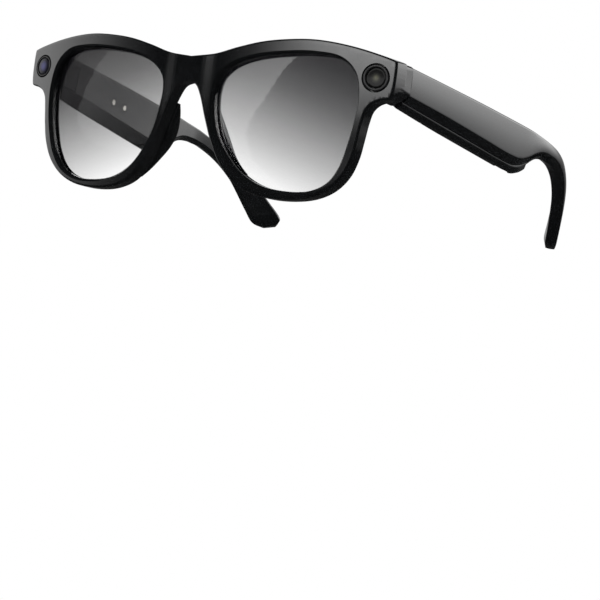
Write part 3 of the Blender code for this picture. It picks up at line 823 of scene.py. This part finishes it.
def temple_cover(name, side):
    along = [rib for rib in fine_ribs() if rib[0] < COVER_END - COVER_GAP]
    shape = loft([temple_section(side, cover_corners(rib)) for rib in along])
    electronics = brick(side, (25.5, 83.5), (1.0, WALL_P), (7.8, 16.6))
    grille_slot = brick(side, (72.5, 81.0), (4.2, 6.0), (0.0, 9.0))
    microphone_port = brick(side, (29.5, 30.5), (4.6, 5.6), (0.0, 9.0))
    cutters = [electronics, hinge_notch(side, 12.0, 24.2), grille_slot, microphone_port]
    if name == "right":
        button_slot = brick(side, (32.7, 41.3), (3.3, 6.9), (15.0, 21.0))
        cutters.append(button_slot)
        cutters += [contact_hole(side, t, (6.9, 10.0)) for t in CONTACT_PLACES.values()]
    else:
        switch_slot = brick(side, (28.0, 37.0), (6.8, 10.0), (10.4, 12.6))
        cutters.append(switch_slot)
    for cutter in cutters:
        shape = joined(shape, cutter)
    body = "temple_" + name
    piece("cover_" + name, shape, body, BLACK_GLOSS, ["temple_cover_" + name])


def contact_ring(side, t, radius, p):
    """A circle in the inner wall of a temple, p inside its outer face."""
    return [temple_point(side, p, tt, z) for tt, z in circle((t, CONTACT_Z), radius, CONTACT_SIDES)]


def contact_hole(side, t, p_range):
    return loft([contact_ring(side, t, CONTACT_HOLE, p) for p in p_range])


def charging_contacts():
    side = SIDES["right"]
    profile = [(1.0, 6.8), (1.0, 9.0), (0.93, 9.1), (0.7, 9.15), (0.2, 9.17)]
    for name, t in CONTACT_PLACES.items():
        shape = loft([contact_ring(side, t, radius, p) for radius, p in profile])
        node = "charging_contact_" + name
        piece("contact_" + name, shape, "temple_right", GOLD, [node])


# ---------------------------------------------------------------- finishes

# Noise values that a finish spreads over its own range
NOISE_RANGE = (0.3, 0.7)
# Middle of a lens across, in metres, where the lean of its tint is nothing
LENS_MIDDLE = 0.036
# Softened edges of the pieces that keep the frame's own shape
EDGE_WIDTH = 0.00012
EDGE_ANGLE = math.radians(40)


def new_look(name, colour, roughness, metallic=0.0):
    look = bpy.data.materials.new(name)
    look.use_nodes = True
    shader = look.node_tree.nodes["Principled BSDF"]
    shader.inputs["Base Color"].default_value = (*colour, 1)
    shader.inputs["Roughness"].default_value = roughness
    shader.inputs["Metallic"].default_value = metallic
    return look, shader


def noise(look, scale, detail=3.0):
    """Noise in the frame's space, with about as many cells to a metre as its scale."""
    nodes, links = look.node_tree.nodes, look.node_tree.links
    place = nodes.new("ShaderNodeTexCoord")
    texture = nodes.new("ShaderNodeTexNoise")
    texture.inputs["Scale"].default_value = scale
    texture.inputs["Detail"].default_value = detail
    links.new(place.outputs["Object"], texture.inputs["Vector"])
    return texture.outputs["Fac"]


def vary(look, source, socket, low, high):
    """Drives a number of the shader between two values."""
    nodes, links = look.node_tree.nodes, look.node_tree.links
    spread = nodes.new("ShaderNodeMapRange")
    spread.inputs["From Min"].default_value = NOISE_RANGE[0]
    spread.inputs["From Max"].default_value = NOISE_RANGE[1]
    spread.inputs["To Min"].default_value = low
    spread.inputs["To Max"].default_value = high
    links.new(source, spread.inputs["Value"])
    links.new(spread.outputs[0], socket)


def tint(look, source, socket, stops):
    """Drives a colour of the shader through a ramp of (place, colour) stops."""
    nodes, links = look.node_tree.nodes, look.node_tree.links
    ramp = nodes.new("ShaderNodeValToRGB")
    elements = ramp.color_ramp.elements
    while len(elements) < len(stops):
        elements.new(0.5)
    for element, (place, colour) in zip(elements, stops):
        element.position = place
        element.color = (*colour, 1)
    links.new(source, ramp.inputs["Fac"])
    links.new(ramp.outputs["Color"], socket)


def bump(look, shader, source, strength, distance):
    nodes, links = look.node_tree.nodes, look.node_tree.links
    relief = nodes.new("ShaderNodeBump")
    relief.inputs["Strength"].default_value = strength
    relief.inputs["Distance"].default_value = distance
    links.new(source, relief.inputs["Height"])
    links.new(relief.outputs["Normal"], shader.inputs["Normal"])


def gloss_black():
    """Polished black plastic, with the faint unevenness of a hand-buffed surface."""
    look, shader = new_look("polished_black", (0.008, 0.008, 0.009), 0.1)
    shader.inputs["IOR"].default_value = 1.5
    shader.inputs["Coat Weight"].default_value = 0.3
    shader.inputs["Coat Roughness"].default_value = 0.04
    tint(look, noise(look, 60.0), shader.inputs["Base Color"],
         [(0.35, (0.003, 0.0035, 0.004)), (0.65, (0.005, 0.0055, 0.006))])
    vary(look, noise(look, 180.0, 5.0), shader.inputs["Roughness"], 0.08, 0.14)
    bump(look, shader, noise(look, 90.0, 2.0), 0.03, 0.0001)
    return look


def tint_share(look, low, high, lean):
    """0 at the low height and 1 at the high one, in metres at a lens's middle; higher further out."""
    nodes, links = look.node_tree.nodes, look.node_tree.links
    place = nodes.new("ShaderNodeTexCoord")
    split = nodes.new("ShaderNodeSeparateXYZ")
    outwards = nodes.new("ShaderNodeMath")
    outwards.operation = "ABSOLUTE"
    leaning = nodes.new("ShaderNodeMath")
    leaning.operation = "MULTIPLY_ADD"
    leaning.inputs[1].default_value = lean
    spread = nodes.new("ShaderNodeMapRange")
    spread.inputs["From Min"].default_value = low + lean * LENS_MIDDLE
    spread.inputs["From Max"].default_value = high + lean * LENS_MIDDLE
    links.new(place.outputs["Object"], split.inputs[0])
    links.new(split.outputs["X"], outwards.inputs[0])
    links.new(outwards.outputs[0], leaning.inputs[0])
    links.new(split.outputs["Z"], leaning.inputs[2])
    links.new(leaning.outputs[0], spread.inputs["Value"])
    return spread.outputs[0]


def tinted_lens():
    """Grey gradient tint, dark towards the top and outer side and nearly clear at the bottom."""
    look, shader = new_look("gradient_lens", (0.012, 0.012, 0.014), 0.02)
    shader.inputs["IOR"].default_value = 1.5
    levels = [
        (0.0, 0.04), (0.09, 0.13), (0.27, 0.3), (0.46, 0.46), (0.7, 0.655), (0.86, 0.75), (1.0, 0.82),
    ]
    stops = [(place, (level, level, level)) for place, level in levels]
    tint(look, tint_share(look, 0.004, 0.05, 0.35), shader.inputs["Alpha"], stops)
    return look


def radius_share(look, side, radius):
    """0 on a module's axis and 1 at the given radius from it."""
    nodes, links = look.node_tree.nodes, look.node_tree.links
    u, v = module_centre(side)
    centre = TO_FRAME @ wrapped(u, 0.0, v)
    place = nodes.new("ShaderNodeTexCoord")
    away = nodes.new("ShaderNodeVectorMath")
    away.operation = "DISTANCE"
    away.inputs[1].default_value = centre
    spread = nodes.new("ShaderNodeMapRange")
    spread.inputs["From Max"].default_value = radius * MM
    links.new(place.outputs["Object"], away.inputs[0])
    links.new(away.outputs["Value"], spread.inputs["Value"])
    return spread.outputs[0]


def coated_dome():
    look, shader = new_look("coated_dome", (0.02, 0.02, 0.05), 0.12)
    shader.inputs["Specular IOR Level"].default_value = 0.12
    # Painted reflection: the base colour paints a violet-blue coating sheen at the dome's centre, fading to
    # near black towards the rim.
    tint(look, radius_share(look, SIDES["right"], 2.8), shader.inputs["Base Color"], [
        (0.0, (0.07, 0.07, 0.17)), (0.3, (0.05, 0.05, 0.13)), (0.5, (0.03, 0.03, 0.07)),
        (0.7, (0.01, 0.01, 0.02)), (1.0, (0.005, 0.005, 0.007)),
    ])
    vary(look, noise(look, 300.0), shader.inputs["Roughness"], 0.1, 0.2)
    return look


def smoked_window():
    look, shader = new_look("smoked_glass", (0.02, 0.02, 0.02), 0.1)
    shader.inputs["Specular IOR Level"].default_value = 0.08
    tint(look, radius_share(look, SIDES["left"], 3.1), shader.inputs["Base Color"], [
        (0.0, (0.15, 0.145, 0.1)), (0.18, (0.09, 0.088, 0.065)), (0.38, (0.03, 0.03, 0.026)),
        (0.6, (0.008, 0.008, 0.008)), (1.0, (0.004, 0.004, 0.004)),
    ])
    vary(look, noise(look, 300.0), shader.inputs["Roughness"], 0.04, 0.1)
    return look


def matte(name, dark, light, roughness, scale, metallic=0.0):
    """A finish whose colour and roughness vary a little, with fine relief."""
    look, shader = new_look(name, dark, roughness, metallic)
    tint(look, noise(look, scale), shader.inputs["Base Color"], [(0.35, dark), (0.65, light)])
    vary(look, noise(look, scale * 3), shader.inputs["Roughness"], roughness - 0.06, roughness + 0.08)
    bump(look, shader, noise(look, scale * 4, 4.0), 0.15, 0.00004)
    return look


BLACK_GLOSS = gloss_black()
LENS_TINT = tinted_lens()
CAMERA_GLASS = coated_dome()
SMOKED_WINDOW = smoked_window()
DARK_STEEL = matte("black_coated_steel", (0.03, 0.03, 0.032), (0.05, 0.05, 0.052), 0.35, 900.0, 1.0)
STEEL = matte("satin_steel", (0.42, 0.42, 0.44), (0.56, 0.56, 0.57), 0.28, 900.0, 1.0)
GOLD = matte("pale_gold_plate", (0.9, 0.87, 0.8), (0.97, 0.94, 0.88), 0.3, 900.0, 1.0)
SATIN_BLACK = matte("satin_black", (0.004, 0.004, 0.005), (0.007, 0.007, 0.008), 0.4, 1500.0)
DARK_PLASTIC = matte("dark_plastic", (0.012, 0.012, 0.012), (0.022, 0.022, 0.022), 0.42, 1500.0)
COPPER = matte("copper_film", (0.6, 0.32, 0.2), (0.75, 0.45, 0.28), 0.35, 700.0, 1.0)
BOARD_GREEN = matte("solder_mask", (0.01, 0.08, 0.03), (0.02, 0.14, 0.06), 0.45, 1200.0)
FOIL = matte("battery_foil", (0.38, 0.38, 0.4), (0.5, 0.5, 0.52), 0.38, 500.0, 0.7)
EMITTER = matte("emitter", (0.6, 0.55, 0.25), (0.85, 0.8, 0.45), 0.35, 1500.0)

NODE_LOOKS = {
    "hinge_": DARK_STEEL,
    "speaker_grille": STEEL,
    "microphone": STEEL,
    "speaker_": DARK_PLASTIC,
    "capture_button": DARK_PLASTIC,
    "power_switch": DARK_PLASTIC,
    "camera_barrel": DARK_PLASTIC,
    "camera_sensor": BOARD_GREEN,
    "light_board": BOARD_GREEN,
    "light_emitter": EMITTER,
    "board_": BOARD_GREEN,
    "battery_": FOIL,
    "touch_sensor": COPPER,
}


def dress_nodes():
    """Finishes and softened edges for the pieces that keep the frame's own shape."""
    for name, node in frame["nodes"].items():
        look = next((found for start, found in NODE_LOOKS.items() if name.startswith(start)), None)
        if look is None:
            continue
        for slot in node.material_slots:
            slot.material = look
        bevel = node.modifiers.new("edges", "BEVEL")
        bevel.width = EDGE_WIDTH
        bevel.segments = 2
        bevel.limit_method = "ANGLE"
        bevel.angle_limit = EDGE_ANGLE


# ---------------------------------------------------------------- lights

def light_groups():
    """Collections of the pieces that each light may shine on: each lens, the contacts, and all the rest."""
    names = ("solids", "contacts", "left_lens", "right_lens")
    groups = {name: bpy.data.collections.new(name) for name in names}
    starts = {"lens_glass_left": "left_lens", "lens_glass_right": "right_lens", "contact_": "contacts"}
    for shown in list(bpy.context.scene.collection.all_objects):
        if shown.type == "MESH":
            group = next((found for start, found in starts.items() if shown.name.startswith(start)), "solids")
            groups[group].objects.link(shown)
    return groups


def add_lights():
    """Soft panels round the glasses, placed for the reflections that the photograph shows."""
    groups = light_groups()
    softbox(
        "box_front_right",
        [(-25, 0), (-12, 0.5), (0, 0.95), (6, 1), (13, 1), (18, 0.55), (22.4, 0.22), (26, 0.05), (31, 0)],
        [
            (-16, 0), (-8, 0.1), (-2, 0.04), (2, 0.04), (5, 0.1), (8, 0.16), (9.2, 0.22), (9.8, 0.5),
            (10.5, 1), (14, 1), (22, 1), (35, 0.5), (46, 0),
        ],
        4.6, groups["solids"],
    )
    softbox(
        "box_front_left",
        [
            (44, 0), (49.6, 0.12), (53.4, 0.34), (57.6, 0.58), (61, 0.75), (65, 0.9), (70, 1), (88, 1),
            (104, 0),
        ],
        [(-24, 0), (-12, 0.5), (-5, 0.75), (0, 0.95), (10, 1), (25, 1), (40, 0)],
        2.1, groups["solids"],
    )
    softbox(
        "box_back",
        [
            (112, 0), (130, 0.3), (143, 0.3), (150, 0.12), (158, 0.04), (167, 0.07), (176, 0.13), (184, 0.1),
            (191, 0.18), (198, 0.68), (205, 0.76), (222, 0.66), (237, 0.82), (250, 0.7), (264, 0),
        ],
        [(-8, 0), (0, 0.12), (4, 0.32), (8, 0.62), (12, 0.85), (18, 1), (28, 1), (42, 0)],
        5.4, groups["solids"],
    )
    ring_light(
        "ring_left_lens", 1.7, 0.6, 23.8, 46.0,
        [(0, 1), (0.05, 1), (0.35, 0.5), (0.7, 0.35), (1, 0.1)], 3.4, groups["left_lens"],
    )
    ring_light(
        "ring_right_lens", 46.6, 5.9, 0.1, 11.0,
        [(0, 0.7), (0.5, 0.75), (0.9, 1), (1, 1)], 0.75, groups["right_lens"],
    )
    softbox(
        "veil_right_lens",
        [(36, 0), (44, 1), (75, 1), (84, 0)], [(-20, 0), (-8, 1), (25, 1), (35, 0)],
        0.4, groups["right_lens"],
    )
    softbox(
        "box_contacts",
        [(160, 0), (180, 1), (300, 1), (330, 0)], [(-30, 0), (-15, 1), (45, 1), (60, 0)],
        1.6, groups["contacts"],
    )
    area_light("top", (0.1, -0.2, 1.0), 1.2, 0.8, 9.0)


add_camera()
add_world()
add_floor()
front_frame()
camera()
light()
for side_name, side_sign in SIDES.items():
    lens(side_name, side_sign)
    nose_pad(side_name, side_sign)
    temple_shell(side_name, side_sign)
    temple_cover(side_name, side_sign)
charging_contacts()
dress_nodes()
add_lights()
